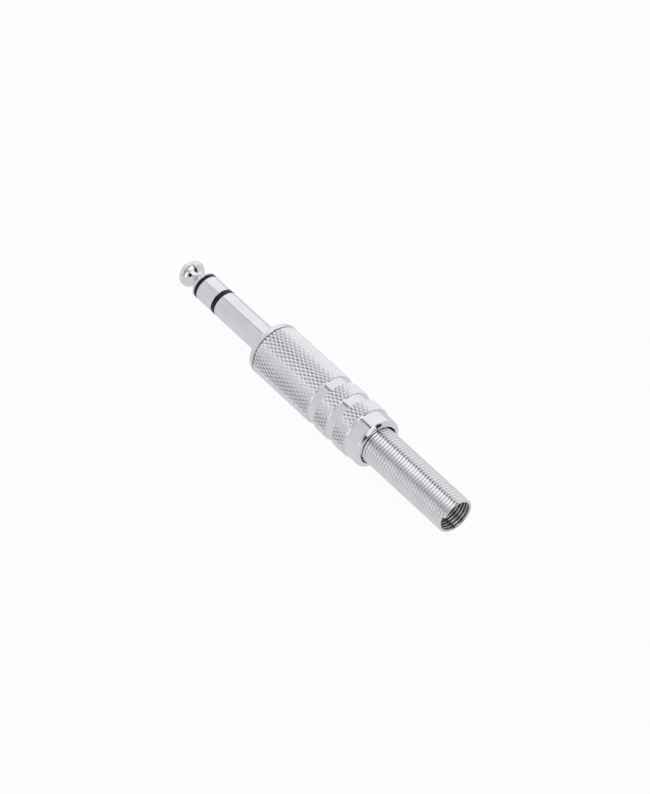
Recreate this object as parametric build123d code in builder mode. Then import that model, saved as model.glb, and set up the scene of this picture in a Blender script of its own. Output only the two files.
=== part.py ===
from build123d import *
import math
import os

os.makedirs("parts", exist_ok=True)

# A 6.35 mm three-contact jack plug with a screw-on knurled shell and a close-wound spring strain relief.
# Millimetres. The origin is on the axis at the root of the finger, against the flange's front face.
# +X points along the axis to the tip, +Z is up, and the plug lies on the side of its shell.

# Finger: the stretch that enters the socket, named from the tip to the flange
finger_radius = 3.175
tip_length = 7.6
front_collar_length = 0.95
ring_length = 5.1
rear_collar_length = 1.25
sleeve_length = 16.1

# Turned outline of the tip: a blunt cone, a crowned head, a waist and a flare
nose_flat_radius = 0.8
nose_slope = 1.12
head_slope = 0.9
flare_slope = 0.83
waist_radius = 1.8
waist_length = 0.6
flare_land = 0.45
nose_round = 1.2
head_round = 1.65
waist_round = 0.7

# Walls of the tubes nested inside the finger, from the sleeve inwards to the tip's rod
fit_gap = 0.02
sleeve_wall = 0.755
rear_tube_wall = 0.53
ring_tube_wall = 0.53
front_tube_wall = 0.43

# Shell: knurled bands of one radius, with smooth grooves and a smooth rear band of another
shell_radius = 6.45
knurl_depth = 0.4
shell_wall = 0.9
front_knurl_length = 18.7
groove_width = 2.35
knurl_band_length = 3.8
rear_band_length = 4.35
rear_round = 1.0
thread_wall = 0.6
thread_clearance = 0.05
thread_run = 7.1
shell_mouth_chamfer = 0.25
rear_wall = 1.7
rear_hole_chamfer = 0.15

# Insulating liner inside the shell
liner_gap = 0.03
liner_wall = 0.3
liner_end_gap = 0.4
liner_setback = 0.6

# Spring: close-wound turns that pass out through the shell's rear hole, and a flared end trapped inside
wire_radius = 0.38
spring_pitch = 0.775
spring_reach = 25.55
spring_clearance = 0.41
flare_pitch = 0.825
flare_turns = 1.0
flare_rise = 0.59
flare_clearance = 0.2
wire_end_angle = 34.0
wire_sides = 4

# Flange and threaded boss, turned in one piece with the finger's sleeve
flange_thickness = 1.5
flange_rise = 0.55
flange_land = 0.43
boss_length = 6.5
boss_chamfer = 0.4
relief_depth = 0.35
relief_width = 0.6
swage_lip = 0.35
swage_length = 0.35

# Terminals stacked behind the boss
clamp_thickness = 0.6
lug_thickness = 0.5
spacer_thickness = 1.0
ring_spacer_radius = 3.3
tip_spacer_radius = 2.6
ring_lug_radius = 3.0
tip_lug_radius = 2.2
peened_lip = 0.45
peened_length = 0.3
rod_head_radius = 1.5
rod_head_length = 0.6
rod_head_chamfer = 0.35

# Solder lugs: a round plate with a tongue bent back along the axis
lug_width = 2.6
lug_bend = 0.8
lug_eye_radius = 0.7
lug_eye_inset = 1.4
ring_lug_rise = 3.7
ring_lug_reach = 6.5
ring_lug_angle = 62.0
tip_lug_rise = 3.0
tip_lug_reach = 8.5
tip_lug_angle = -58.0

# Cable clamp: plate, strap with a joggle, and an open cradle with two ears
clamp_plate_radius = 4.6
strap_width = 3.4
strap_clearance = 0.1
strap_bend = 0.6
strap_end = 30.5
strap_eye_radius = 0.8
strap_eye_place = 14.0
cradle_radius = 3.3
cradle_length = 6.0
cradle_sweep = 236.0
joggle_length = 2.4
ear_round = 1.2

# Radii, worked out inwards from the finger's and the shell's outsides
rear_tube_radius = finger_radius - sleeve_wall - fit_gap
ring_tube_radius = rear_tube_radius - rear_tube_wall - fit_gap
front_tube_radius = ring_tube_radius - ring_tube_wall - fit_gap
rod_radius = front_tube_radius - front_tube_wall - fit_gap
smooth_radius = shell_radius - knurl_depth
shell_bore = smooth_radius - shell_wall
thread_bore = smooth_radius - thread_wall
boss_radius = thread_bore - thread_clearance
flange_face_radius = shell_radius - flange_rise
liner_radius = shell_bore - liner_gap
liner_bore = liner_radius - liner_wall
strap_drop = math.sqrt((liner_bore - strap_clearance) ** 2 - (strap_width / 2) ** 2) - clamp_thickness / 2
spigot_radius = strap_drop - strap_bend - swage_lip
spring_radius = shell_bore - flare_clearance - flare_rise
mean_spring_radius = spring_radius - wire_radius
rear_hole_radius = spring_radius + spring_clearance

# Places along the axis, worked out from the lengths above
rear_collar_x = sleeve_length
ring_x = rear_collar_x + rear_collar_length
front_collar_x = ring_x + ring_length
tip_x = front_collar_x + front_collar_length
nose_x = tip_x + tip_length
shell_x = -flange_thickness
boss_x = shell_x - boss_length
clamp_x = boss_x - clamp_thickness
spigot_x = clamp_x - swage_length
ring_lug_x = spigot_x - spacer_thickness
ring_peen_x = ring_lug_x - lug_thickness
tip_spacer_x = ring_peen_x - peened_length
tip_lug_x = tip_spacer_x - spacer_thickness
rod_peen_x = tip_lug_x - lug_thickness
rod_end_x = rod_peen_x - rod_head_length
shell_bands = [
    (front_knurl_length, shell_radius),
    (groove_width, smooth_radius),
    (knurl_band_length, shell_radius),
    (groove_width, smooth_radius),
    (knurl_band_length, shell_radius),
    (rear_band_length, smooth_radius),
]
shell_end_x = shell_x - sum(length for length, radius in shell_bands)
thread_end_x = shell_x - thread_run
liner_front_x = thread_end_x - liner_setback
spring_end_x = shell_end_x - spring_reach
spring_turns = round((spring_reach + rear_wall - wire_radius) / spring_pitch)
flare_x = spring_end_x + spring_turns * spring_pitch
flare_height = flare_turns * flare_pitch
liner_end_x = flare_x + flare_height + wire_radius + liner_end_gap


def band(x_low, x_high, inner, outer):
    """Half section of a tube about the X axis, drawn in the open sketch."""
    with Locations(((x_low + x_high) / 2, (inner + outer) / 2)):
        Rectangle(x_high - x_low, outer - inner)


def finish(part, label):
    """Names a piece and writes it to its own file."""
    part.label = label
    export_step(part, f"parts/{label}.step")


# Tip contact: the turned head, its rod through the whole plug and the peened end behind the tip lug
cone_run = flare_land + (finger_radius - waist_radius) / flare_slope
waist_front_x = tip_x + cone_run + waist_length
crown_x = (
    nose_flat_radius + nose_slope * nose_x - waist_radius + head_slope * waist_front_x
) / (nose_slope + head_slope)
crown_radius = waist_radius + head_slope * (crown_x - waist_front_x)
with BuildPart() as tip_contact:
    with BuildSketch() as head:
        with BuildLine():
            Polyline(
                (tip_x, 0),
                (nose_x, 0),
                (nose_x, nose_flat_radius),
                (crown_x, crown_radius),
                (waist_front_x, waist_radius),
                (tip_x + cone_run, waist_radius),
                (tip_x + flare_land, finger_radius),
                (tip_x, finger_radius),
                close=True,
            )
        make_face()
        outer_corners = head.vertices().group_by(Axis.X)
        fillet(outer_corners[-1].sort_by(Axis.Y)[-1], nose_round)
        fillet(head.vertices().sort_by(Axis.Y)[-1], head_round)
        waist_corners = head.vertices().filter_by(lambda v: abs(v.Y - waist_radius) < fit_gap)
        fillet(waist_corners, waist_round)
    revolve(axis=Axis.X)
    with BuildSketch():
        band(rod_end_x, tip_x, 0, rod_radius)
        band(rod_end_x, rod_peen_x, 0, rod_head_radius)
    revolve(axis=Axis.X)
    chamfer(tip_contact.edges().filter_by(GeomType.CIRCLE).sort_by(Axis.X)[0], rod_head_chamfer)
finish(tip_contact.part, "tip_contact")

# Front insulator: the black collar between tip and ring, with its tube round the rod
with BuildPart() as front_insulator:
    with BuildSketch():
        band(front_collar_x, tip_x, rod_radius + fit_gap, finger_radius)
        band(tip_spacer_x, tip_x, rod_radius + fit_gap, front_tube_radius)
    revolve(axis=Axis.X)
finish(front_insulator.part, "front_insulator")

# Ring contact: the middle contact, with its tube peened over the ring lug
with BuildPart() as ring_contact:
    with BuildSketch():
        band(ring_x, front_collar_x, front_tube_radius + fit_gap, finger_radius)
        band(tip_spacer_x, front_collar_x, front_tube_radius + fit_gap, ring_tube_radius)
        band(tip_spacer_x, ring_peen_x, front_tube_radius + fit_gap, ring_tube_radius + peened_lip)
    revolve(axis=Axis.X)
    lip = ring_contact.edges().filter_by(GeomType.CIRCLE).group_by(Axis.X)[0]
    chamfer(lip.sort_by(SortBy.RADIUS)[-1], peened_length / 2)
finish(ring_contact.part, "ring_contact")

# Rear insulator: the black collar between ring and sleeve, with its tube through the boss
with BuildPart() as rear_insulator:
    with BuildSketch():
        band(rear_collar_x, ring_x, ring_tube_radius + fit_gap, finger_radius)
        band(spigot_x, ring_x, ring_tube_radius + fit_gap, rear_tube_radius)
    revolve(axis=Axis.X)
finish(rear_insulator.part, "rear_insulator")

# Sleeve body: finger sleeve, crowned flange, threaded boss and the spigot swaged over the clamp
flange_crown = ((flange_thickness - flange_land) ** 2 + flange_rise**2) / (2 * flange_rise)
with BuildPart() as sleeve_body:
    with BuildSketch() as turned:
        band(shell_x, sleeve_length, 0, finger_radius)
        band(boss_x, 0, 0, boss_radius)
        band(spigot_x, 0, 0, spigot_radius)
        band(spigot_x, clamp_x, 0, spigot_radius + swage_lip)
        with BuildLine():
            face_edge = Line((0, 0), (0, flange_face_radius))
            crown = RadiusArc(face_edge @ 1, (shell_x + flange_land, shell_radius), -flange_crown)
            Polyline(crown @ 1, (shell_x, shell_radius), (shell_x, 0), (0, 0))
        make_face()
    revolve(axis=Axis.X)
    with BuildSketch():
        band(shell_x - relief_width, shell_x, boss_radius - relief_depth, shell_radius)
    revolve(axis=Axis.X, mode=Mode.SUBTRACT)
    with BuildSketch():
        band(spigot_x, sleeve_length, 0, rear_tube_radius + fit_gap)
    revolve(axis=Axis.X, mode=Mode.SUBTRACT)
    boss_rim = sleeve_body.edges().filter_by(GeomType.CIRCLE).filter_by_position(
        Axis.X, boss_x - fit_gap, boss_x + fit_gap
    )
    chamfer(boss_rim.sort_by(SortBy.RADIUS)[-1], boss_chamfer)
    lip = sleeve_body.edges().filter_by(GeomType.CIRCLE).group_by(Axis.X)[0]
    chamfer(lip.sort_by(SortBy.RADIUS)[-1], swage_lip / 2)
finish(sleeve_body.part, "sleeve_body")


def spacer(label, x_low, inner, outer):
    """Flat insulating washer, one spacer thickness long, ahead of x_low."""
    with BuildPart() as washer:
        with BuildSketch():
            band(x_low, x_low + spacer_thickness, inner, outer)
        revolve(axis=Axis.X)
    finish(washer.part, label)


spacer("ring_spacer", ring_lug_x, ring_tube_radius + fit_gap, ring_spacer_radius)
spacer("tip_spacer", tip_lug_x, rod_radius + fit_gap, tip_spacer_radius)


def solder_lug(label, face_x, hole_radius, plate_radius, rise, reach, angle):
    """Pressed lug: a plate on its tube, and a tongue bent back, with a soldering eye near its round end."""
    middle_x = face_x - lug_thickness / 2
    with BuildPart() as lug:
        with BuildSketch(Plane.YZ.offset(face_x)):
            Circle(plate_radius)
        extrude(amount=-lug_thickness)
        with BuildSketch(Plane.XZ):
            with BuildLine():
                FilletPolyline((middle_x, 0), (middle_x, rise), (middle_x - reach, rise), radius=lug_bend)
            trace(line_width=lug_thickness)
        extrude(amount=lug_width / 2, both=True)
        fillet(lug.edges().filter_by(Axis.Z).group_by(Axis.X)[0], lug_width / 2 - fit_gap)
        with BuildSketch(Plane.XY.offset(rise)):
            with Locations((middle_x - reach + lug_eye_inset, 0)):
                Circle(lug_eye_radius)
        extrude(amount=lug_thickness, both=True, mode=Mode.SUBTRACT)
        with BuildSketch(Plane.YZ.offset(face_x)):
            Circle(hole_radius)
        extrude(amount=-lug_thickness, mode=Mode.SUBTRACT)
    finish(lug.part.rotate(Axis.X, angle), label)


solder_lug(
    "ring_lug", ring_lug_x, ring_tube_radius + fit_gap, ring_lug_radius,
    ring_lug_rise, ring_lug_reach, ring_lug_angle,
)
solder_lug(
    "tip_lug", tip_lug_x, rod_radius + fit_gap, tip_lug_radius,
    tip_lug_rise, tip_lug_reach, tip_lug_angle,
)

# Cable clamp: the sleeve's terminal, a plate on the spigot, a strap along the bottom and a cradle
clamp_middle_x = boss_x - clamp_thickness / 2
cradle_middle = cradle_radius + clamp_thickness / 2
cradle_front_x = -strap_end + cradle_length
with BuildPart() as cable_clamp:
    with BuildSketch(Plane.YZ.offset(boss_x)):
        Circle(clamp_plate_radius)
    extrude(amount=-clamp_thickness)
    with BuildSketch(Plane.XZ):
        with BuildLine():
            FilletPolyline(
                (clamp_middle_x, 0),
                (clamp_middle_x, -strap_drop),
                (cradle_front_x + joggle_length, -strap_drop),
                (cradle_front_x, -cradle_middle),
                (-strap_end, -cradle_middle),
                radius=strap_bend,
            )
        trace(line_width=clamp_thickness)
    extrude(amount=strap_width / 2, both=True)
    with BuildSketch(Plane.YZ.offset(-strap_end)):
        with BuildLine():
            CenterArc((0, 0), cradle_middle, -90 - cradle_sweep / 2, cradle_sweep)
        trace(line_width=clamp_thickness)
    extrude(amount=cradle_length)
    cradle_faces = cable_clamp.faces().filter_by(GeomType.PLANE).filter_by_position(
        Axis.X, -strap_end + fit_gap, cradle_front_x - fit_gap
    )
    ear_corners = cradle_faces.sort_by(Axis.Z)[-2:].edges().filter_by(
        lambda e: e.length < clamp_thickness + fit_gap
    )
    fillet(ear_corners, ear_round)
    with BuildSketch(Plane.XY.offset(-strap_drop)):
        with Locations((-strap_eye_place, 0)):
            Circle(strap_eye_radius)
    extrude(amount=clamp_thickness, both=True, mode=Mode.SUBTRACT)
    with BuildSketch(Plane.YZ.offset(boss_x)):
        Circle(spigot_radius + fit_gap)
    extrude(amount=-clamp_thickness, mode=Mode.SUBTRACT)
finish(cable_clamp.part, "cable_clamp")

# Shell: bands on one bore, threaded at the mouth, with a rounded rear end round the spring
with BuildPart() as shell:
    with BuildSketch():
        band_x = shell_x
        for length, radius in shell_bands:
            band(band_x - length, band_x, rear_hole_radius, radius)
            band_x -= length
    revolve(axis=Axis.X)
    with BuildSketch():
        band(thread_end_x, shell_x, 0, thread_bore)
        band(shell_end_x + rear_wall, shell_x, 0, shell_bore)
    revolve(axis=Axis.X, mode=Mode.SUBTRACT)
    mouth = shell.edges().filter_by(GeomType.CIRCLE).group_by(Axis.X)[-1]
    chamfer(mouth.sort_by(SortBy.RADIUS)[0], shell_mouth_chamfer)
    rear_rims = shell.edges().filter_by(GeomType.CIRCLE).group_by(Axis.X)[0].sort_by(SortBy.RADIUS)
    fillet(rear_rims[-1], min(rear_round, 0.9 * (smooth_radius - rear_hole_radius)))
    rear_rims = shell.edges().filter_by(GeomType.CIRCLE).group_by(Axis.X)[0].sort_by(SortBy.RADIUS)
    chamfer(rear_rims[0], rear_hole_chamfer)
finish(shell.part, "shell")

# Liner: a thin insulating tube that lines the shell behind the thread
with BuildPart() as liner:
    with BuildSketch():
        band(liner_end_x, liner_front_x, liner_bore, liner_radius)
    revolve(axis=Axis.X)
finish(liner.part, "liner")

# Strain relief spring: a right-hand helix, whose front turn opens out behind the shell's rear wall
spring_axis = (1, 0, 0)
flare_angle = math.degrees(math.atan2(flare_rise, flare_height))
with BuildPart() as one_turn:
    with BuildLine() as turn_path:
        Helix(spring_pitch, spring_pitch, mean_spring_radius, direction=spring_axis)
    wire_start = Plane(origin=turn_path.line @ 0, x_dir=(0, 0, 1), z_dir=turn_path.line % 0)
    with BuildSketch(wire_start):
        RegularPolygon(wire_radius, wire_sides)
    sweep(path=turn_path.line, is_frenet=True)
with BuildPart() as coil:
    turn_places = [(spring_end_x + turn * spring_pitch, 0, 0) for turn in range(spring_turns)]
    with Locations(*turn_places):
        add(one_turn.part)
    with BuildLine() as flare_path:
        Helix(
            flare_pitch, flare_height, mean_spring_radius,
            center=(flare_x, 0, 0), direction=spring_axis, cone_angle=flare_angle,
        )
    # The flare starts from the very face on which the last straight turn ends
    with BuildSketch(Plane(origin=flare_path.line @ 0, x_dir=wire_start.x_dir, z_dir=wire_start.z_dir)):
        RegularPolygon(wire_radius, wire_sides)
    sweep(path=flare_path.line, is_frenet=True)
finish(coil.part.rotate(Axis.X, wire_end_angle - 90), "strain_spring")
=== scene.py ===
"""Looks of a 6.35 mm three-contact jack plug with a knurled screw-on shell and a spring strain relief.

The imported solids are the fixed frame. Every visible piece is rebuilt here as a finer surface in the same place:
turned pieces are outlines carried round the X axis, the knurl and the threads are heights added to such a
surface, and the spring is a round section carried along its helix. Sizes are millimetres until a mesh is made.
"""
import logging
import math
from dataclasses import dataclass, field
from enum import Enum
from typing import Any

import bmesh
import bpy
import numpy as np
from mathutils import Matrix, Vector


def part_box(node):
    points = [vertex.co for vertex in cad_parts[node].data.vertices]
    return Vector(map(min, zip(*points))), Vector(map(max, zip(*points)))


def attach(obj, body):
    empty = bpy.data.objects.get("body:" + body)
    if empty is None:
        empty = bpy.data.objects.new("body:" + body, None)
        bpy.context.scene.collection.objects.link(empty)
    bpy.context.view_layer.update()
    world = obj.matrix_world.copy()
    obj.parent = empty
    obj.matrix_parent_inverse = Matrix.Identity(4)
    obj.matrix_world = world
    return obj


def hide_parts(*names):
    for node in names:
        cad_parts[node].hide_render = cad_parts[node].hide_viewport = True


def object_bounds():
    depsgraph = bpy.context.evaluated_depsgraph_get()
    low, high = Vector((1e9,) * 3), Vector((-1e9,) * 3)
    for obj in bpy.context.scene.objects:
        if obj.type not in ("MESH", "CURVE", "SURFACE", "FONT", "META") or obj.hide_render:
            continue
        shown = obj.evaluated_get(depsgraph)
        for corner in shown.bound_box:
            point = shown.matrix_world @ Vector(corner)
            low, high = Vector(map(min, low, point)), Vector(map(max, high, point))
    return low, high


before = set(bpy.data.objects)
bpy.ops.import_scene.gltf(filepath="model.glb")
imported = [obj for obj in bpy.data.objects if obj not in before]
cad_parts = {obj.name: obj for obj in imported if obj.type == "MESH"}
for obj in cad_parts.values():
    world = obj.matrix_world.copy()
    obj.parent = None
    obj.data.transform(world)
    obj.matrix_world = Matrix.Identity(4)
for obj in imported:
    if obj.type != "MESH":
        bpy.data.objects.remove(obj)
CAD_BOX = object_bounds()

log = logging.getLogger("jack_plug")

MM = 0.001
# Millimetres: the rounding of an edge that is left sharp, and the distance from a rounding to its guard point.
SHARP = 0.02
GUARD = 0.02
WHITE = (1.0, 1.0, 1.0, 1.0)
Grid = np.ndarray
Faces = np.ndarray
Pair = tuple[float, float]
Triple = tuple[float, float, float]
Piece = bpy.types.Object


class Layout(Enum):
    """How the fine tool marks of a metal finish run."""

    TURNED = "rings about the plug's axis"
    DRAWN = "lines along the wire"
    PRESSED = "an even grain"


def span(node: str) -> Triple:
    """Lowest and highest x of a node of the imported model, and its largest radius, in millimetres."""
    low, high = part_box(node)
    return low.x / MM, high.x / MM, max(high.y, -low.y, high.z, -low.z) / MM


def rounded(
    corners: list[Pair], radii: float | list[float], closed: bool = True, steps: int = 5, reach: float = 0.45,
) -> Grid:
    """Round every corner of an outline with an arc.

    At a corner the tangent length is the radius over the tangent of half the angle between the two sides. The
    arc's centre lies on the bisector, at the radius over the sine of that half angle. The arc's points are the
    two feet's arms from the centre, mixed by the sines of their shares of the arc's angle. A guard point stands
    just outside each foot, by a tenth of the corner's room at most, so that shading stays flat on the straight
    sides.

    Args:
        corners: The outline's corners as (x, radius).
        radii: One rounding for all corners, or one for each.
        closed: Whether the outline closes on itself. The ends of an open one stay as they are.
        steps: Points on each arc.
        reach: Largest share of a side that one corner's rounding may take.

    Returns:
        The outline's points, one row each.
    """
    points = np.asarray(corners, float)
    sizes = np.broadcast_to(np.asarray(radii, float), len(points))
    inner = np.arange(len(points)) if closed else np.arange(1, len(points) - 1)
    here = points[inner]
    back = points[inner - 1] - here
    ahead = points[(inner + 1) % len(points)] - here
    back_length = np.linalg.norm(back, axis=1, keepdims=True)
    ahead_length = np.linalg.norm(ahead, axis=1, keepdims=True)
    back, ahead = back / back_length, ahead / ahead_length
    half = np.arccos(np.clip((back * ahead).sum(1, keepdims=True), -1, 1)) / 2
    room = reach * np.minimum(back_length, ahead_length)
    tangent = np.minimum(sizes[inner, None] / np.tan(half), room)
    radius = tangent * np.tan(half)
    bisector = (back + ahead) / np.linalg.norm(back + ahead, axis=1, keepdims=True)
    centre = here + bisector * radius / np.sin(half)
    arm_in, arm_out = here + back * tangent - centre, here + ahead * tangent - centre
    turn = (math.pi - 2 * half)[:, None]
    share = np.linspace(0, 1, steps)[None, :, None]
    arms = np.sin((1 - share) * turn) * arm_in[:, None] + np.sin(share * turn) * arm_out[:, None]
    arms /= np.sin(turn)
    keep = np.minimum(GUARD, 0.1 * room)
    before = (here + back * (tangent + keep))[:, None]
    after = (here + ahead * (tangent + keep))[:, None]
    rows = np.concatenate([before, centre[:, None] + arms, after], axis=1).reshape(-1, 2)
    return rows if closed else np.concatenate([points[:1], rows, points[-1:]])


def turned(outline: Grid, columns: int, lift: Grid | float = 0.0) -> Grid:
    """Carry an outline round the X axis.

    A point keeps its x, and its y and z are its radius times the cosine and sine of its column's angle. The
    lift is added to the radius.

    Args:
        outline: Points as (x, radius).
        columns: Number of columns round the axis.
        lift: Heights added to the radius, one for each grid point, or one for all.

    Returns:
        Grid of points, rows by columns by 3.
    """
    angle = np.linspace(0, 2 * math.pi, columns, endpoint=False)
    radius = outline[:, 1, None] + lift + 0 * angle
    along = outline[:, 0, None] + 0 * angle
    return np.stack([along, radius * np.cos(angle), radius * np.sin(angle)], axis=-1)


def quads(rows: int, columns: int, close_rows: bool = True, close_columns: bool = True) -> Faces:
    """Four-sided faces of a grid whose rows, columns or both close on themselves.

    Args:
        rows: Number of rows.
        columns: Number of columns.
        close_rows: Whether the last row joins the first.
        close_columns: Whether the last column joins the first.

    Returns:
        Corner numbers, one face per row.
    """
    counts = rows - (not close_rows), columns - (not close_columns)
    i, j = np.meshgrid(*map(np.arange, counts), indexing="ij")
    up, over = (i + 1) % rows, (j + 1) % columns
    corners = [i * columns + j, up * columns + j, up * columns + over, i * columns + over]
    return np.stack(corners, axis=-1).reshape(-1, 4)


def end_fans(rows: int, columns: int) -> Faces:
    """Triangles that close both ends of a grid, each end round one point that stands after the grid's own.

    Args:
        rows: Number of rows.
        columns: Number of columns.

    Returns:
        Corner numbers, one triangle per row.
    """
    here = np.arange(columns)
    over = (here + 1) % columns
    last = (rows - 1) * columns
    start = np.stack([np.full(columns, rows * columns), here, over], axis=-1)
    end = np.stack([np.full(columns, rows * columns + 1), last + over, last + here], axis=-1)
    return np.concatenate([start, end])


def outward(points: Grid, parts: list[Faces]) -> list[Faces]:
    """Turn every face the other way if the closed surface encloses a negative volume.

    The volume is a sixth of the sum, over fans of triangles, of each first corner dotted with the cross product
    of the other two.

    Args:
        points: The surface's points.
        parts: Its faces, in arrays of triangles and of four-sided faces.

    Returns:
        The faces, pointing outwards.
    """
    volume = 0.0
    for faces in parts:
        for k in range(1, faces.shape[1] - 1):
            a, b, c = (points[faces[:, m]] for m in (0, k, k + 1))
            volume += float((a * np.cross(b, c)).sum())
    return parts if volume > 0 else [faces[:, ::-1] for faces in parts]


def new_object(name: str, data: bpy.types.ID) -> Piece:
    """Put a mesh or a camera into the scene as a new object."""
    made = bpy.data.objects.new(name, data)
    bpy.context.scene.collection.objects.link(made)
    return made


def smooth_object(name: str, mesh: bpy.types.Mesh, crease: float) -> Piece:
    """A mesh as a new object, shaded smooth but for the edges that bend by more than the crease's degrees."""
    mesh.polygons.foreach_set("use_smooth", np.ones(len(mesh.polygons), bool))
    mesh.set_sharp_from_angle(angle=math.radians(crease))
    return new_object(name, mesh)


def make_mesh(name: str, points: Grid, parts: list[Faces], crease: float = 35.0) -> Piece:
    """Put computed points and faces into a new object.

    Args:
        name: The piece's name.
        points: Points in millimetres.
        parts: Faces, in arrays of triangles and of four-sided faces.
        crease: Edges that bend by more than this many degrees are drawn sharp.

    Returns:
        The new object, linked to the scene.
    """
    points = points.reshape(-1, 3)
    parts = outward(points, parts)
    corners = np.concatenate([faces.ravel() for faces in parts])
    totals = np.concatenate([np.full(len(faces), faces.shape[1]) for faces in parts])
    mesh = bpy.data.meshes.new(name)
    mesh.vertices.add(len(points))
    mesh.vertices.foreach_set("co", (points * MM).astype(np.float32).ravel())
    mesh.loops.add(len(corners))
    mesh.loops.foreach_set("vertex_index", corners.astype(np.int32))
    mesh.polygons.add(len(totals))
    mesh.polygons.foreach_set("loop_start", (np.cumsum(totals) - totals).astype(np.int32))
    mesh.polygons.foreach_set("loop_total", totals.astype(np.int32))
    mesh.update(calc_edges=True)
    mesh.validate()
    return smooth_object(name, mesh, crease)


def ring_piece(name: str, outline: Grid, columns: int, lift: Grid | float = 0.0) -> Piece:
    """A hollow turned piece: a closed outline carried round the axis, so that the surface is a closed ring."""
    return make_mesh(name, turned(outline, columns, lift), [quads(len(outline), columns)])


def solid_piece(name: str, outline: Grid, columns: int) -> Piece:
    """A solid turned piece: an open outline whose two ends lie on the axis, each closed by a fan.

    Args:
        name: The piece's name.
        outline: Open outline as (x, radius), with both ends on the axis.
        columns: Number of columns round the axis.

    Returns:
        The new object.
    """
    body = outline[1:-1]
    points = turned(body, columns).reshape(-1, 3)
    poles = np.array([[outline[0, 0], 0, 0], [outline[-1, 0], 0, 0]])
    sides = quads(len(body), columns, close_rows=False)
    return make_mesh(name, np.concatenate([points, poles]), [sides, end_fans(len(body), columns)])


@dataclass
class Graph:
    """Places and joins the shader nodes of one material or world."""

    owner: Any
    tree: Any = field(init=False)

    def __post_init__(self) -> None:
        """Start from an empty node tree."""
        self.owner.use_nodes = True
        self.tree = self.owner.node_tree
        self.tree.nodes.clear()

    def add(self, kind: str, sockets: dict[str | int, Any] | None = None, **settings: Any) -> Any:
        """Place a node.

        Args:
            kind: The node's type.
            sockets: Input sockets by name or number, each with a value or with the output socket that feeds it.
            settings: Attributes of the node itself.

        Returns:
            The node.
        """
        node = self.tree.nodes.new(kind)
        for key, value in settings.items():
            setattr(node, key, value)
        for key, value in (sockets or {}).items():
            if isinstance(value, bpy.types.NodeSocket):
                self.tree.links.new(value, node.inputs[key])
            else:
                node.inputs[key].default_value = value
        return node

    def math(self, operation: str, first: Any, second: Any = 0.0, clamp: bool = False) -> Any:
        """A math node's output, of one or two values or sockets."""
        node = self.add("ShaderNodeMath", {0: first, 1: second}, operation=operation, use_clamp=clamp)
        return node.outputs[0]

    def ramp(self, value: Any, stops: list[tuple[float, Any]]) -> Any:
        """A colour ramp's output.

        Args:
            value: The socket that drives it.
            stops: Positions with their grey level or colour.

        Returns:
            The colour socket.
        """
        node = self.add("ShaderNodeValToRGB", {0: value})
        elements = node.color_ramp.elements
        while len(elements) < len(stops):
            elements.new(0.5)
        for element, (place, shade) in zip(elements, stops):
            element.position = place
            element.color = (*shade, 1.0) if isinstance(shade, tuple) else (shade, shade, shade, 1.0)
        return node.outputs[0]

    def edge(self, value: Any, off: float, on: float) -> Any:
        """A soft step, from 0 where the value is off to 1 where it is on."""
        return self.add("ShaderNodeMapRange", {
            "Value": value, "From Min": off, "From Max": on,
        }, interpolation_type="SMOOTHSTEP").outputs[0]

    def span(self, value: Any, taken: Pair, given: Pair) -> Any:
        """A value carried evenly from the stretch that is taken onto the one that is given."""
        return self.add("ShaderNodeMapRange", {
            "Value": value, "From Min": taken[0], "From Max": taken[1], "To Min": given[0], "To Max": given[1],
        }).outputs[0]

    def blend(self, under: Any, factor: Any, level: float) -> Any:
        """A grey level laid over the colour under it, as far as the factor says."""
        over = (level, level, level, 1.0)
        return self.add("ShaderNodeMix", {0: factor, 6: under, 7: over}, data_type="RGBA").outputs[2]

    def noise(self, vector: Any, scale: Triple, detail: float = 3.0) -> Any:
        """A noise texture's grey output, over a copy of the vector scaled along each axis."""
        mapping = self.add("ShaderNodeMapping", {"Vector": vector, "Scale": scale})
        return self.add(
            "ShaderNodeTexNoise", {"Vector": mapping.outputs[0], "Scale": 1.0, "Detail": detail}
        ).outputs[0]


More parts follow.
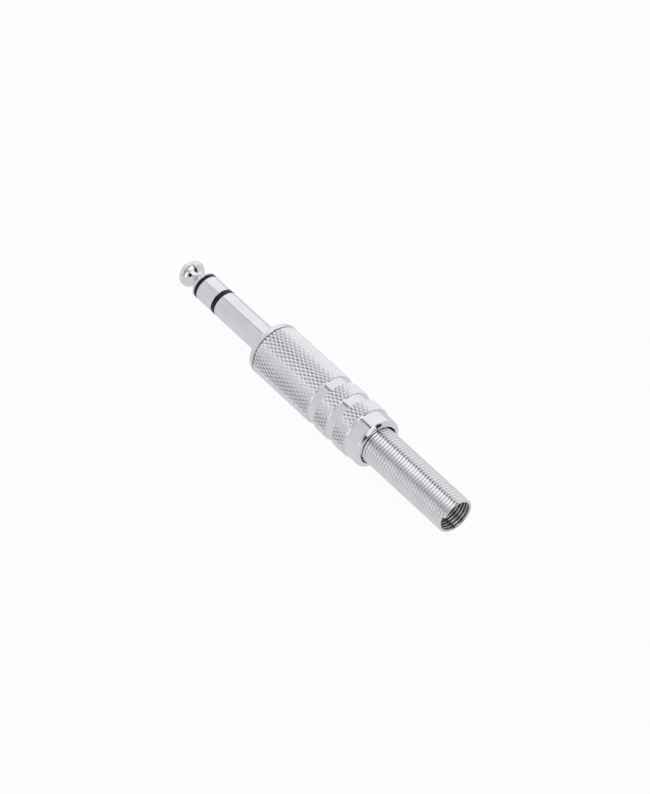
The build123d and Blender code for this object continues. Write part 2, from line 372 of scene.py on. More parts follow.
@dataclass(frozen=True)
class Metal:
    """A plated, drawn or tinned metal.

    Attributes:
        name: The finish's name.
        slot: Name of a material slot; not used.
        bright: Colour where the metal is clean.
        dull: Colour where it is hazy from handling.
        gloss: Roughness where it is clean and where it is hazy.
        marks: How its fine tool marks run.
        mark_size: Width of a tool mark, in millimetres.
        mark_depth: Depth of a tool mark, in millimetres.
        mark_strength: Strength of the marks' bump.
        mark_share: Share of the roughness that follows the marks. The rest follows the haze.
        ring_stretch: Scale of a turned mark along its ring, as a share of that across it.
        wire_scale: Scale of a drawn mark along the wire and round it.
        haze_scale: Scale of the haze, per metre.
        haze_range: Noise at which the colour starts to turn dull, and at which it is.
        rough_range: Noise at which the roughness is lowest and highest.
        bore: Radius about the X axis inside which the colour is darkened by painted shade, in millimetres.
        bore_shade_fade: Half of the stretch over which the painted shade comes in, in millimetres.
        bore_shade_level: Grey level of the painted shade there.
    """

    name: str
    slot: str
    bright: Triple
    dull: Triple
    gloss: Pair
    marks: Layout
    mark_size: float = 0.06
    mark_depth: float = 0.0003
    mark_strength: float = 0.6
    mark_share: float = 0.4
    ring_stretch: float = 0.012
    wire_scale: Triple = (1.4, 26.0, 1.0)
    haze_scale: float = 260.0
    haze_range: Pair = (0.38, 0.68)
    rough_range: Pair = (0.35, 0.65)
    bore: float = 0.0
    bore_shade_fade: float = 0.1
    bore_shade_level: float = 0.45

    def build(self) -> bpy.types.Material:
        """Make the material.

        Returns:
            The new material, with its haze and its tool marks from noise.
        """
        material = bpy.data.materials.new(self.name)
        graph = Graph(material)
        place = graph.add("ShaderNodeTexCoord")
        here = place.outputs["Object"]
        fine = 1 / (self.mark_size * MM)
        haze = graph.noise(here, (self.haze_scale,) * 3, detail=4.0)
        if self.marks is Layout.TURNED:
            lines = graph.noise(here, (fine, fine * self.ring_stretch, fine * self.ring_stretch))
        elif self.marks is Layout.DRAWN:
            lines = graph.noise(place.outputs["UV"], self.wire_scale)
        else:
            lines = graph.noise(here, (fine, fine, fine))
        colour = graph.ramp(haze, list(zip(self.haze_range, (self.bright, self.dull))))
        if self.bore:
            # Painted shade: inside the bore's radius the colour is laid over with dark grey, for the shade on the
            # inner side of the wire's turns.
            colour = graph.blend(colour, self.within_painted_bore_shade(graph, here), self.bore_shade_level)
        hazy = graph.math("MULTIPLY", haze, 1 - self.mark_share)
        marked = graph.math("MULTIPLY", lines, self.mark_share)
        rough = graph.span(graph.math("ADD", hazy, marked), self.rough_range, self.gloss)
        bump = graph.add("ShaderNodeBump", {
            "Height": lines, "Strength": self.mark_strength, "Distance": self.mark_depth * MM,
        })
        shader = graph.add("ShaderNodeBsdfPrincipled", {
            "Base Color": colour, "Metallic": 1.0, "Roughness": rough, "Normal": bump.outputs[0],
        })
        graph.add("ShaderNodeOutputMaterial", {"Surface": shader.outputs[0]})
        return material

    def within_painted_bore_shade(self, graph: Graph, here: Any) -> Any:
        """How far a point lies inside the bore, where the colour gets painted shade.

        Args:
            graph: The material's nodes.
            here: The coordinate socket, in metres about the plug's own origin.

        Returns:
            The factor socket.
        """
        off_axis = (0.0, 1.0, 1.0)
        across = graph.add("ShaderNodeVectorMath", {0: here, 1: off_axis}, operation="MULTIPLY").outputs[0]
        radius = graph.add("ShaderNodeVectorMath", {0: across}, operation="LENGTH").outputs["Value"]
        return graph.edge(radius, (self.bore + self.bore_shade_fade) * MM, (self.bore - self.bore_shade_fade) * MM)


@dataclass(frozen=True)
class Plastic:
    """A moulded plastic, or a fibre with a visible grain.

    Attributes:
        name: The finish's name.
        slot: Name of a material slot; not used.
        colour: Its colour.
        shade: Its colour in the hollows of the grain.
        gloss: Lowest and highest roughness.
        grain: Width of the grain, in millimetres.
        grain_depth: Depth of the grain, in millimetres.
        grain_strength: Strength of the grain's bump.
        shade_range: Noise at which the colour is that of the hollows, and at which it is the plain one.
        rough_range: Noise at which the roughness is lowest and highest.
        specular: Level of its mirror-like reflection.
        through: Share of light that passes through.
    """

    name: str
    slot: str
    colour: Triple
    shade: Triple
    gloss: Pair
    grain: float = 0.12
    grain_depth: float = 0.002
    grain_strength: float = 0.4
    shade_range: Pair = (0.35, 0.6)
    rough_range: Pair = (0.3, 0.7)
    specular: float = 0.3
    through: float = 0.0

    def build(self) -> bpy.types.Material:
        """Make the material.

        Returns:
            The new material, with its grain from noise.
        """
        material = bpy.data.materials.new(self.name)
        graph = Graph(material)
        here = graph.add("ShaderNodeTexCoord").outputs["Object"]
        fine = 1 / (self.grain * MM)
        grain = graph.noise(here, (fine, fine, fine), detail=2.0)
        bump = graph.add("ShaderNodeBump", {
            "Height": grain, "Strength": self.grain_strength, "Distance": self.grain_depth * MM,
        })
        shader = graph.add("ShaderNodeBsdfPrincipled", {
            "Base Color": graph.ramp(grain, list(zip(self.shade_range, (self.shade, self.colour)))),
            "Roughness": graph.span(grain, self.rough_range, self.gloss),
            "Normal": bump.outputs[0],
            "Transmission Weight": self.through,
            "Specular IOR Level": self.specular,
        })
        graph.add("ShaderNodeOutputMaterial", {"Surface": shader.outputs[0]})
        return material


NICKEL = Metal(
    "nickel_turned", "nickel", (0.865, 0.848, 0.90), (0.81, 0.795, 0.845), (0.03, 0.10), Layout.TURNED,
)
SHELL_NICKEL = Metal(
    "nickel_shell", "shell_nickel", (0.865, 0.848, 0.90), (0.82, 0.805, 0.855), (0.04, 0.12), Layout.TURNED,
)
# The wire's bore darkens the inner side of its turns with painted shade.
WIRE = Metal(
    "nickel_wire", "spring_wire", (0.865, 0.85, 0.88), (0.81, 0.795, 0.825), (0.04, 0.11), Layout.DRAWN,
    mark_depth=0.0006, bore=3.82,
)
TINNED = Metal(
    "tinned_brass", "tinned_brass", (0.80, 0.79, 0.76), (0.70, 0.68, 0.64), (0.24, 0.42), Layout.PRESSED,
    mark_size=0.15, mark_depth=0.003,
)
BLACK = Plastic("black_collar", "black_plastic", (0.010, 0.010, 0.012), (0.006, 0.006, 0.008), (0.28, 0.42))
FIBRE = Plastic("fibre_washer", "fibre", (0.33, 0.14, 0.09), (0.22, 0.08, 0.05), (0.55, 0.75), grain=0.2)
LINER = Plastic(
    "liner_tube", "liner_plastic", (0.86, 0.85, 0.80), (0.82, 0.80, 0.74), (0.25, 0.35),
    grain=0.4, through=0.25,
)


def dress(piece: Piece, finish: Metal | Plastic, body: str, *nodes: str) -> Piece:
    """Give a finished piece its material, its body and the nodes that it stands for.

    Args:
        piece: The finished object.
        finish: Its finish.
        body: The body that carries it.
        nodes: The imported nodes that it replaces.

    Returns:
        The piece.
    """
    material = bpy.data.materials.get(finish.name) or finish.build()
    piece.data.materials.clear()
    piece.data.materials.append(material)
    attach(piece, body)
    if nodes:
        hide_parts(*nodes)
    log.info("%s: %d faces, %s, rides on %s", piece.name, len(piece.data.polygons), finish.name, body)
    return piece


@dataclass(frozen=True)
class Thread:
    """The right-hand thread that boss and shell share."""

    pitch: float = 0.75
    depth: float = 0.38
    bore: float = 5.45
    length: float = 7.1
    fade: float = 0.75
    breadth: float = 0.8
    rows: int = 10

    def height(self, along: Grid, columns: int, start: float, end: float) -> Grid:
        """Height of the thread on a turned surface, from 0 in its root to 1 on its crest.

        The phase is x over the pitch, less the angle's share of a full turn. The height is half of one plus the
        cosine of that phase, raised to a power under one to broaden the crest, and it fades out at both ends.

        Args:
            along: The rows' x.
            columns: Number of columns round the axis.
            start: Lowest x of the thread.
            end: Highest x of the thread.

        Returns:
            Heights, rows by columns.
        """
        share = np.linspace(0, 1, columns, endpoint=False)
        phase = along[:, None] / self.pitch - share
        wave = (0.5 + 0.5 * np.cos(2 * math.pi * phase)) ** self.breadth
        inside = np.clip((along - start) / self.fade, 0, 1) * np.clip((end - along) / self.fade, 0, 1)
        return wave * inside[:, None]


@dataclass
class Finger:
    """The turned contacts and black collars that enter the socket, with the flange and the threaded boss."""

    columns: int = 128
    head_steps: int = 14
    edge: float = 0.06
    collar_edge: float = 0.03
    fit: float = 0.02
    rod: float = 0.85
    front_tube: float = 1.3
    ring_tube: float = 1.85
    rear_tube: float = 2.4
    nose_flat: float = 0.6
    crown: Pair = (4.8, 3.98)
    waist: float = 1.78
    waist_span: Pair = (2.107, 2.85)
    flare_land: float = 0.45
    nose_round: float = 1.2
    crown_round: float = 1.65
    waist_round: float = 0.7
    flare_round: float = 0.15
    head_reach: float = 0.62
    rod_head: float = 1.5
    rod_head_length: float = 0.6
    rod_head_round: float = 0.35
    collar_length: float = 0.95
    rear_collar_length: float = 1.25
    peened_lip: float = 0.45
    peened_length: float = 0.3
    peened_round: float = 0.15
    flange_thickness: float = 1.5
    flange_rise: float = 0.55
    flange_land: float = 0.43
    flange_root: float = 0.12
    crown_rows: int = 10
    seam_edge: float = 0.12
    clamp_thickness: float = 0.6
    boss_play: float = 0.05
    boss_chamfer: Pair = (0.4, 0.2)
    boss_edge: float = 0.05
    relief_width: float = 0.6
    spigot: float = 3.15
    spigot_edge: float = 0.03
    swage_lip: float = 0.35
    swage_length: float = 0.35
    swage_round: float = 0.17

    def tip(self) -> Piece:
        """The tip contact: rounded head, waist and flare, and the rod behind them.

        Returns:
            The finished piece.
        """
        rear, nose, radius = span("tip_contact")
        base = span("front_insulator")[1]
        outline = rounded(
            [
                (nose, 0), (nose, self.nose_flat), (base + self.crown[0], self.crown[1]),
                (base + self.waist_span[1], self.waist), (base + self.waist_span[0], self.waist),
                (base + self.flare_land, radius), (base, radius), (base, self.rod),
                (rear + self.rod_head_length, self.rod), (rear + self.rod_head_length, self.rod_head),
                (rear, self.rod_head), (rear, 0),
            ],
            [
                0, self.nose_round, self.crown_round, self.waist_round, self.waist_round, self.flare_round,
                self.edge, SHARP, SHARP, self.edge, self.rod_head_round, 0,
            ],
            closed=False, steps=self.head_steps, reach=self.head_reach,
        )
        return dress(solid_piece("tip_contact_turned", outline, self.columns), NICKEL, "plug", "tip_contact")

    def collar(self, piece: str, node: str, length: float, tube: float, inner: float) -> Piece:
        """A black collar, with its tube over the rod or tube within it.

        Args:
            piece: The piece's name.
            node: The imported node.
            length: Length of the collar itself.
            tube: Radius of its tube.
            inner: Radius of the rod or tube within it.

        Returns:
            The finished piece.
        """
        rear, front, radius = span(node)
        step = front - length
        bore = inner + self.fit
        outline = rounded(
            [(front, bore), (front, radius), (step, radius), (step, tube), (rear, tube), (rear, bore)],
            self.collar_edge,
        )
        return dress(ring_piece(piece, outline, self.columns), BLACK, "plug", node)

    def front_collar(self) -> Piece:
        """The black collar between tip and ring."""
        return self.collar("front_collar", "front_insulator", self.collar_length, self.front_tube, self.rod)

    def ring(self) -> Piece:
        """The middle contact, with its tube and its peened rear end.

        Returns:
            The finished piece.
        """
        rear, front, radius = span("ring_contact")
        base = span("rear_insulator")[1]
        lip = self.ring_tube + self.peened_lip
        bore = self.front_tube + self.fit
        outline = rounded(
            [
                (front, bore), (front, radius), (base, radius), (base, self.ring_tube),
                (rear + self.peened_length, self.ring_tube), (rear + self.peened_length, lip), (rear, lip),
                (rear, bore),
            ],
            [SHARP, self.edge, self.edge, SHARP, SHARP, self.edge, self.peened_round, SHARP],
        )
        return dress(ring_piece("ring_contact_turned", outline, self.columns), NICKEL, "plug", "ring_contact")

    def rear_collar(self) -> Piece:
        """The black collar between ring and sleeve, whose tube passes through the boss."""
        return self.collar(
            "rear_collar", "rear_insulator", self.rear_collar_length, self.rear_tube, self.ring_tube
        )

    def sleeve(self, thread: Thread) -> Piece:
        """The sleeve contact, the crowned flange, the threaded boss and the spigot swaged over the clamp.

        The flange's crown is a circle's arc from its front face's edge to its widest line. The boss's rows are
        set close enough for the thread's height to be added to them.

        Args:
            thread: The thread that boss and shell share.

        Returns:
            The finished piece.
        """
        rear, front, flange = span("sleeve_body")
        finger = span("ring_contact")[2]
        back = -self.flange_thickness
        root = thread.bore - self.boss_play - thread.depth
        swage = rear + self.swage_length
        boss_end = swage + self.clamp_thickness
        chamfer = boss_end + self.boss_chamfer[0]
        lip = self.spigot + self.swage_lip
        bore = self.rear_tube + self.fit
        crown_run = self.flange_thickness - self.flange_land
        crown_radius = (crown_run**2 + self.flange_rise**2) / (2 * self.flange_rise)
        sweep = np.linspace(math.asin(crown_run / crown_radius), 0, self.crown_rows)
        crown = np.stack([
            back + self.flange_land + crown_radius * np.sin(sweep),
            flange - crown_radius + crown_radius * np.cos(sweep),
        ], axis=-1)
        face = rounded(
            [(front, bore), (front, finger), (0, finger), (0, flange - self.flange_rise)],
            [SHARP, self.edge, self.flange_root, SHARP], closed=False,
        )
        land = rounded(
            [(back + self.flange_land, flange), (back, flange), (back, root), (back - self.relief_width, root)],
            [SHARP, self.seam_edge, self.boss_edge, SHARP], closed=False,
        )
        rows = np.arange(back - self.relief_width, chamfer, -thread.pitch / thread.rows)
        threaded = np.stack([rows, np.full(len(rows), root)], axis=-1)
        tail = rounded(
            [
                (chamfer, root), (boss_end, root - self.boss_chamfer[1]), (boss_end, self.spigot),
                (swage, self.spigot), (swage, lip), (rear, lip), (rear, bore),
            ],
            [SHARP, self.boss_edge, self.spigot_edge, self.spigot_edge, self.edge, self.swage_round, SHARP],
            closed=False,
        )
        outline = np.concatenate([face[:-1], crown, land[1:-1], threaded, tail[1:]])
        lift = np.zeros((len(outline), self.columns))
        first = len(face) - 1 + len(crown) + len(land) - 2
        lift[first:first + len(rows)] = thread.depth * thread.height(rows, self.columns, rows[-1], rows[0])
        piece = ring_piece("sleeve_turned", outline, self.columns, lift)
        return dress(piece, NICKEL, "plug", "sleeve_body")


@dataclass
class Shell:
    """The screw-on shell: three knurled bands, two smooth grooves and a smooth rear band round the spring."""

    diamonds: int = 41
    diamond_length: float = 1.66
    cuts: int = 5
    depth: float = 0.25
    crest: float = 0.93
    crest_ease: float = 0.004
    groove_step: float = 0.4
    wall: float = 0.9
    band_lengths: tuple[float, ...] = (18.7, 2.35, 3.8, 2.35, 3.8)
    shoulder: float = 0.62
    shoulder_round: float = 0.35
    rear_wall: float = 1.7
    rear_hole: float = 4.77
    hole_round: float = 0.15
    wall_round: float = 0.1
    mouth_round: float = 0.25
    edge: float = 0.05
    burr: float = 0.05
    seam: float = 0.12
    groove_steps: int = 3
    end_steps: int = 4
    bore_steps: int = 2
    crease: float = 24.0
    thread: Thread = field(default_factory=Thread)
    thread_inset: float = 0.6
    thread_seat: float = 0.1
    thread_gap: float = 0.06
    liner_wall: float = 0.3
    liner_columns: int = 96

    @property
    def columns(self) -> int:
        """Columns round the shell, so that every diamond's corners and centre fall on one."""
        return self.diamonds * 2 * self.cuts

    def crossing(self, round_share: Grid, axial: Grid) -> tuple[Grid, Grid]:
        """Distance from the middle between two grooves, in each of the two families of grooves that cross.

        A point's place between two grooves of a family is the fraction of its turn plus or minus its x, both
        counted in diamonds. The distance runs from 0 midway to a half in a groove.
        """
        return np.abs((round_share + axial) % 1 - 0.5), np.abs((round_share - axial) % 1 - 0.5)

    def knurl(self, along: Grid) -> Grid:
        """Height of the diamond knurl, from 0 in its grooves to 1 on its points.

        The height is one less twice the larger distance from the middle, so that each diamond is a four-sided
        pyramid, and its point is cut off and eased.

        Args:
            along: The rows' x.

        Returns:
            Heights, rows by columns.
        """
        round_share = np.arange(self.columns) / (2 * self.cuts)
        height = 1 - 2 * np.maximum(*self.crossing(round_share, along[:, None] / self.diamond_length))
        below = self.crest - height
        return self.crest - np.sqrt(below**2 + self.crest_ease) * 0.5 - below * 0.5

    def knurl_rows(self, front: float, rear: float) -> Grid:
        """Rows of a knurled band: its two ends and the lines of the diamonds' lattice that stand clear of them.

        Args:
            front: The band's front end.
            rear: The band's rear end.

        Returns:
            The rows' x, from front to rear.
        """
        step = self.diamond_length / (2 * self.cuts)
        clear = 0.3 * step
        first = math.floor((front - clear) / step)
        last = math.ceil((rear + clear) / step)
        return np.concatenate([[front], np.arange(first, last - 1, -1) * step, [rear]])

    def split(self, grid_rows: int, along: Grid) -> Faces:
        """Triangles of the shell's grid, with every square cut along the groove that is nearer to it.

        Args:
            grid_rows: Number of rows.
            along: The rows' x.

        Returns:
            Corner numbers, one triangle per row.
        """
        faces = quads(grid_rows, self.columns)
        i, j = np.divmod(faces[:, 0], self.columns)
        round_share = (j + 0.5) / (2 * self.cuts)
        axial = (along[i] + along[(i + 1) % grid_rows]) / 2 / self.diamond_length
        first, second = self.crossing(round_share, axial)
        a, b, c, d = faces.T
        falling = first > second
        one = np.where(falling[:, None], np.stack([a, b, c], -1), np.stack([a, b, d], -1))
        two = np.where(falling[:, None], np.stack([a, c, d], -1), np.stack([b, c, d], -1))
        return np.concatenate([one, two])

    def outside(self) -> Piece:
        """The shell, from its mouth over the bands to the rear hole and back through its bore.

        Returns:
            The finished piece.
        """
        rear, front, radius = span("shell")
        smooth = radius - self.groove_step
        foot = radius - self.depth
        parts = []
        place = front - self.seam
        for number, length in enumerate(self.band_lengths):
            end = place - length if number else front - length
            if number % 2:
                lip = foot - self.burr
                outline = rounded(
                    [(place, lip), (place, smooth), (end, smooth), (end, lip)], self.edge,
                    closed=False, steps=self.groove_steps,
                )
                parts.append((outline, np.zeros((len(outline), self.columns))))
            else:
                x = self.knurl_rows(place - self.burr, end + self.burr)
                height = self.depth * self.knurl(x)
                x = np.concatenate([[place], x, [end]])
                height = np.concatenate([height[:1] - self.burr, height, height[-1:] - self.burr])
                parts.append((np.stack([x, np.full(len(x), foot)], axis=-1), height))
            place = end
        bore = smooth - self.wall
        thread_end = front - self.thread.length
        mouth = front - self.seam
        hole = (rear + self.rear_wall, self.rear_hole)
        end = rounded(
            [
                (place, foot - self.burr), (place, smooth), (rear + self.shoulder, smooth),
                (rear, smooth - self.shoulder), (rear, self.rear_hole), hole,
            ],
            [0, self.edge, self.shoulder_round, self.shoulder_round, self.hole_round, 0],
            closed=False, steps=self.end_steps,
        )
        inside = rounded(
            [
                (rear, self.rear_hole), hole, (rear + self.rear_wall, bore), (thread_end, bore),
                (thread_end, self.thread.bore), (mouth, self.thread.bore), (mouth, foot - 2 * self.burr),
            ],
            [0, self.edge, self.wall_round, self.edge, self.edge, self.mouth_round, 0],
            closed=False, steps=self.bore_steps,
        )
        back = np.concatenate([end[:-1], inside[1:]])
        parts.append((back, np.zeros((len(back), self.columns))))
        outline, lift = map(np.concatenate, zip(*parts))
        grid = turned(outline, self.columns, lift)
        piece = make_mesh("shell_knurled", grid, [self.split(len(outline), outline[:, 0])], self.crease)
        return dress(piece, SHELL_NICKEL, "shell", "shell")

    def inside_thread(self) -> Piece:
        """The shell's own thread: a ring set into the mouth's wall, whose ridges fill the boss's grooves.

        Returns:
            The finished piece.
        """
        front = span("shell")[1] - self.thread_inset
        rear = front - self.thread.length + 2 * self.thread_inset
        seat = self.thread.bore + self.thread_seat
        rows = np.arange(front, rear, -self.thread.pitch / self.thread.rows)
        columns = Finger().columns
        ridges = self.thread.height(rows + self.thread.pitch / 2, columns, rows[-1], rows[0])
        inner = np.stack([rows, np.full(len(rows), self.thread.bore)], axis=-1)
        outer = np.array([[rows[-1], seat], [rows[0], seat]])
        lift = np.concatenate([-(self.thread.depth - self.thread_gap) * ridges, np.zeros((2, columns))])
        piece = ring_piece("shell_thread", np.concatenate([inner, outer]), columns, lift)
        return dress(piece, SHELL_NICKEL, "shell")

    def liner(self) -> Piece:
        """The thin insulating tube in the shell.

        Returns:
            The finished piece.
        """
        rear, front, radius = span("liner")
        bore = radius - self.liner_wall
        outline = rounded([(front, bore), (front, radius), (rear, radius), (rear, bore)], self.edge)
        return dress(ring_piece("liner_tube", outline, self.liner_columns), LINER, "shell", "liner")


@dataclass
class Spring:
    """The close-wound strain relief, a right-hand helix of round wire whose front turn opens out."""

    wire: float = 0.38
    pitch: float = 0.775
    turns: int = 35
    flare_turns: float = 1.0
    flare_pitch: float = 0.825
    flare_rise: float = 0.59
    outer: float = 4.36
    end_angle: float = 34.0
    cut_edge: float = 0.25
    steps: int = 64
    sides: int = 18

    def path(self) -> tuple[Grid, Grid]:
        """Angle along the wire and the helix's points.

        The angle grows evenly from the cut end. x grows by a pitch each turn, faster on the flared turn, and
        the radius stays until that turn, on which it grows with the turned share.

        Returns:
            The angles and the points.
        """
        total = self.turns + self.flare_turns
        turn = np.linspace(0, total, round(total * self.steps) + 1)
        flare = np.clip(turn - self.turns, 0, None)
        along = span("strain_spring")[0] + self.wire + self.pitch * (turn - flare) + self.flare_pitch * flare
        radius = self.outer - self.wire + self.flare_rise * flare / self.flare_turns
        angle = math.radians(self.end_angle) + 2 * math.pi * turn
        return angle, np.stack([along, radius * np.cos(angle), radius * np.sin(angle)], axis=-1)

    def coil(self) -> Piece:
        """The wire: a circle carried along the helix, with its two cut ends closed.

        At each point the circle lies across the path's tangent, spanned by the direction away from the axis and
        its cross product with the tangent. The piece's own map holds the length along the wire, in millimetres,
        and the share round it.

        Returns:
            The finished piece.
        """
        angle, path = self.path()
        tangent = np.gradient(path, axis=0)
        tangent /= np.linalg.norm(tangent, axis=1, keepdims=True)
        away = np.stack([0 * angle, np.cos(angle), np.sin(angle)], axis=-1)
        away -= (away * tangent).sum(1, keepdims=True) * tangent
        away /= np.linalg.norm(away, axis=1, keepdims=True)
        across = np.cross(tangent, away)
        share = np.linspace(0, 2 * math.pi, self.sides, endpoint=False)[None, :, None]
        skin = path[:, None] + self.wire * (np.cos(share) * away[:, None] + np.sin(share) * across[:, None])
        cut = self.cut_edge * self.wire
        caps = [
            path[end] - side * cut * tangent[end] + (1 - self.cut_edge) * (skin[end] - path[end])
            for end, side in ((0, 1), (-1, -1))
        ]
        grid = np.concatenate([caps[:1], skin, caps[1:]])
        rows = len(grid)
        points = np.concatenate([grid.reshape(-1, 3), caps[0].mean(0)[None], caps[1].mean(0)[None]])
        faces = [quads(rows, self.sides, close_rows=False), end_fans(rows, self.sides)]
        piece = make_mesh("strain_spring_wire", points, faces)
        self.unwrap(piece.data, rows)
        return dress(piece, WIRE, "strain_relief", "strain_spring")

    def unwrap(self, mesh: bpy.types.Mesh, rows: int) -> None:
        """Write the wire's own map: length along it in millimetres, and the share round it.

        Args:
            mesh: The wire's mesh.
            rows: Rows of its grid.
        """
        corner = np.empty(len(mesh.loops), np.int32)
        mesh.loops.foreach_get("vertex_index", corner)
        corner = np.minimum(corner, rows * self.sides - 1)
        length = (corner // self.sides) * (2 * math.pi * self.outer / self.steps)
        share = (corner % self.sides) / self.sides
        layer = mesh.uv_layers.new(name="along_wire")
        layer.data.foreach_set("uv", np.stack([length, share], axis=-1).astype(np.float32).ravel())


@dataclass
class Terminals:
    """The pressed lugs, the cable clamp and the insulating washers behind the boss."""

    edge: float = 0.07
    edge_steps: int = 2
    edge_angle: float = 40.0
    flat_angle: float = 1.0
    crease: float = 32.0
    same_point: float = 1e-7
    washer_edge: float = 0.06
    washer_columns: int = 72

    def pressed(self, node: str) -> Piece:
        """A pressed piece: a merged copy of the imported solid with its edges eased.

        Args:
            node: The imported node.

        Returns:
            The finished piece.
        """
        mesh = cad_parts[node].data.copy()
        work = bmesh.new()
        work.from_mesh(mesh)
        bmesh.ops.remove_doubles(work, verts=work.verts, dist=self.same_point)
        flat = math.radians(self.flat_angle)
        bmesh.ops.dissolve_limit(work, angle_limit=flat, verts=work.verts, edges=work.edges)
        work.to_mesh(mesh)
        work.free()
        piece = smooth_object(node + "_pressed", mesh, self.crease)
        bevel = piece.modifiers.new("eased_edges", "BEVEL")
        bevel.width = self.edge * MM
        bevel.segments = self.edge_steps
        bevel.limit_method = "ANGLE"
        bevel.angle_limit = math.radians(self.edge_angle)
        bevel.harden_normals = True
        return dress(piece, TINNED, "plug", node)

    def washer(self, node: str, bore: float) -> Piece:
        """An insulating washer.

        Args:
            node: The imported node.
            bore: Its inner radius.

        Returns:
            The finished piece.
        """
        rear, front, radius = span(node)
        outline = rounded([(front, bore), (front, radius), (rear, radius), (rear, bore)], self.washer_edge)
        piece = ring_piece(node + "_fibre", outline, self.washer_columns)
        return dress(piece, FIBRE, "plug", node)


@dataclass(frozen=True)
class Panel:
    """A panel of the light tent, or a gap in it, in bands of the direction from the object.

    Attributes:
        turn: Middle of its band about the X axis, in degrees: 0 at +Y, 90 straight up, 180 at -Y.
        half: Half width of that band, in degrees.
        fade: Half of the stretch over which that band's edge fades, in degrees.
        low: Lowest x of its direction.
        high: Highest x of its direction.
        level: Its brightness.
    """

    turn: float
    half: float
    fade: float
    low: float
    high: float
    level: float


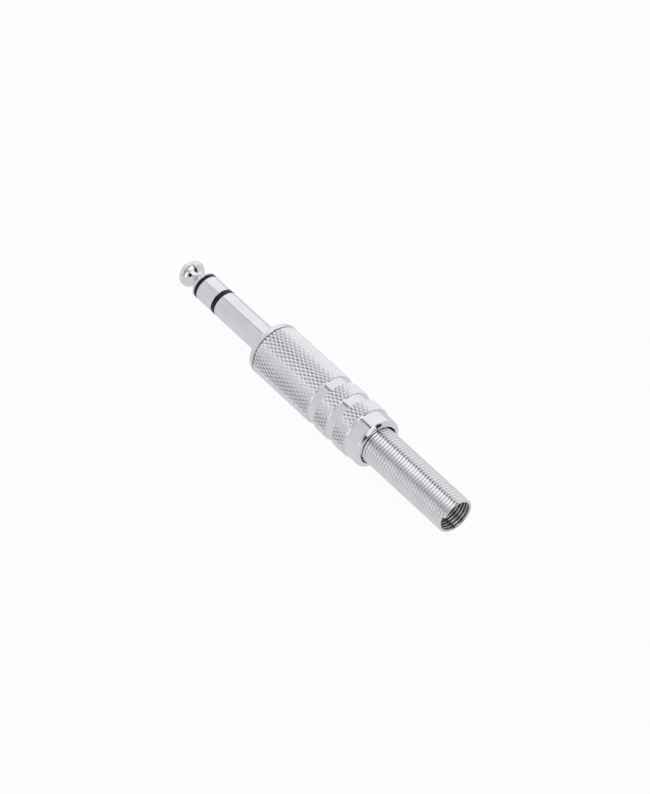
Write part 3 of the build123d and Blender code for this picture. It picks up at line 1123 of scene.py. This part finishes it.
@dataclass
class Studio:
    """Plain pale floor, soft light and the camera at the photo's angle.

    Attributes:
        view: Direction from the plug to the camera.
        distance: Length of that line, in metres.
        scale: Pixels for each millimetre at the target.
        target: The point that the camera looks at, in millimetres.
        floor_white: How much of the white shows where the camera and the metal see the floor.
        floor_in_metal: Brightness of that white as the metal sees it.
        near_side: Brightness of the tent on the camera's side, up to straight up.
        far_side: Brightness of the tent beyond that, and below the plug.
        tent_edge: Shares of the turn about the X axis between which the one side passes into the other.
        x_fade: Half of the stretch of x over which a panel's ends fade.
        panels: The tent's panels and gaps, each laid over those before it.
    """

    view: Triple = (-0.5225, 0.4211, 0.7413)
    distance: float = 0.85
    scale: float = 4.65
    target: Triple = (-18.88, 0.11, -0.06)
    image_height: int = 794
    sensor: float = 36.0
    nearest: float = 0.01
    floor_half: float = 1.5
    floor_colour: float = 0.92
    floor_white: float = 0.95
    floor_in_metal: float = 0.73
    near_side: float = 0.70
    far_side: float = 0.96
    tent_edge: Pair = (0.748, 0.758)
    x_fade: float = 0.04
    panels: tuple[Panel, ...] = (
        # Gap over the finger and the smooth bands, which show it as one thin dark line.
        Panel(92.0, 4.2, 3.5, 0.44, 0.545, 0.14),
        # Gap in front of the shell's shoulder.
        Panel(80.0, 52.0, 6.0, 0.28, 0.42, 0.06),
        # Gap at the side, which darkens one flank of the knurl's diamonds.
        Panel(24.5, 31.5, 16.0, -0.10, 0.24, 0.33),
        # Dimmer cloth on the far side.
        Panel(168.0, 38.0, 10.0, -1.2, -0.04, 0.68),
        # Softbox above the spring and the tip's head.
        Panel(91.0, 16.0, 4.0, -0.64, -0.06, 1.65),
        # Gap below the softbox.
        Panel(52.5, 8.0, 4.0, -0.64, -0.10, 0.44),
        # Gap above the softbox.
        Panel(118.5, 8.0, 4.0, -0.64, 0.0, 0.20),
        # Side window low behind the camera.
        Panel(14.0, 24.0, 8.0, -0.62, -0.40, 1.70),
        # Dark end of the room behind the plug, seen in the spring's bore.
        Panel(0.0, 200.0, 10.0, -1.2, -0.82, 0.03),
        # Window in that end, seen in the shell's shoulder.
        Panel(82.0, 28.0, 5.0, -0.93, -0.82, 1.05),
        # Gap beside it, which ends the shoulder's bright mark.
        Panel(134.0, 14.0, 5.0, -0.85, -0.62, 0.03),
    )

    def camera(self) -> None:
        """Place the camera on the line of sight, with a lens that gives the photo's scale at the target."""
        data = bpy.data.cameras.new("camera")
        data.sensor_width = self.sensor
        data.lens = self.scale * (self.distance / MM) * self.sensor / self.image_height
        data.clip_start = self.nearest
        made = new_object("camera", data)
        toward = Vector(self.view).normalized()
        target = Vector(self.target) * MM
        made.location = target + toward * self.distance
        made.rotation_euler = (-toward).to_track_quat("-Z", "Y").to_euler()
        bpy.context.scene.camera = made

    def floor(self) -> None:
        """A wide pale floor that keeps a soft shadow and shows white to the camera and in the metal."""
        low, high = CAD_BOX
        half = self.floor_half
        corners = np.array([[-half, -half, 0], [half, -half, 0], [half, half, 0], [-half, half, 0]]) / MM
        corners[:, 2] = low.z / MM
        made = make_mesh("floor", corners, [np.array([[0, 1, 2, 3]])])
        if made.data.polygons[0].normal.z < 0:
            made.data.flip_normals()
        material = bpy.data.materials.new("floor_paper")
        graph = Graph(material)
        path = graph.add("ShaderNodeLightPath")
        seen = graph.math("ADD", path.outputs["Is Camera Ray"], path.outputs["Is Glossy Ray"])
        seen = graph.math("ADD", seen, path.outputs["Is Transmission Ray"], clamp=True)
        white = graph.span(path.outputs["Is Camera Ray"], (0.0, 1.0), (self.floor_in_metal, 1.0))
        grey = (self.floor_colour, self.floor_colour, self.floor_colour, 1.0)
        plain = graph.add("ShaderNodeBsdfDiffuse", {"Color": grey})
        glow = graph.add("ShaderNodeEmission", {"Color": WHITE, "Strength": white})
        mixed = graph.add("ShaderNodeMixShader", {
            0: graph.math("MULTIPLY", seen, self.floor_white), 1: plain.outputs[0], 2: glow.outputs[0],
        })
        graph.add("ShaderNodeOutputMaterial", {"Surface": mixed.outputs[0]})
        made.data.materials.append(material)

    def light(self) -> None:
        """A light tent whose level depends on the angle of its direction about the X axis, with its panels."""
        world = bpy.data.worlds.new("tent")
        bpy.context.scene.world = world
        graph = Graph(world)
        direction = graph.add("ShaderNodeTexCoord").outputs["Generated"]
        x, y, z = graph.add("ShaderNodeSeparateXYZ", {0: direction}).outputs
        turn = graph.math("DEGREES", graph.math("ARCTAN2", z, y))
        share = graph.math("ADD", graph.math("DIVIDE", turn, 360.0), 0.5, clamp=True)
        level = graph.ramp(share, [
            (0.0, self.far_side), (0.5, self.near_side), (self.tent_edge[0], self.near_side),
            (self.tent_edge[1], self.far_side), (1.0, self.far_side),
        ])
        for panel in self.panels:
            off = graph.math("ABSOLUTE", graph.math("SUBTRACT", turn, panel.turn))
            mask = graph.math(
                "MULTIPLY",
                graph.edge(off, panel.half + panel.fade, panel.half - panel.fade),
                graph.math(
                    "MULTIPLY",
                    graph.edge(x, panel.low - self.x_fade, panel.low + self.x_fade),
                    graph.edge(x, panel.high + self.x_fade, panel.high - self.x_fade),
                ),
            )
            level = graph.blend(level, mask, panel.level)
        seen = graph.add("ShaderNodeLightPath").outputs["Is Camera Ray"]
        tent = graph.add("ShaderNodeBackground", {"Color": level, "Strength": 1.0})
        white = graph.add("ShaderNodeBackground", {"Color": WHITE, "Strength": 1.0})
        mixed = graph.add("ShaderNodeMixShader", {0: seen, 1: tent.outputs[0], 2: white.outputs[0]})
        graph.add("ShaderNodeOutputWorld", {"Surface": mixed.outputs[0]})
        bpy.context.scene.view_settings.view_transform = "Standard"


def main() -> None:
    """Build the plug from its finger to its spring, then the studio round it."""
    logging.basicConfig(level=logging.INFO, format="%(name)s: %(message)s")
    finger, shell, terminals = Finger(), Shell(), Terminals()
    finger.tip()
    finger.front_collar()
    finger.ring()
    finger.rear_collar()
    finger.sleeve(shell.thread)
    terminals.washer("ring_spacer", finger.ring_tube + finger.fit)
    terminals.washer("tip_spacer", finger.rod + finger.fit)
    for node in ("ring_lug", "tip_lug", "cable_clamp"):
        terminals.pressed(node)
    shell.outside()
    shell.inside_thread()
    shell.liner()
    Spring().coil()
    studio = Studio()
    studio.camera()
    studio.floor()
    studio.light()


if __name__ == "__main__":
    main()
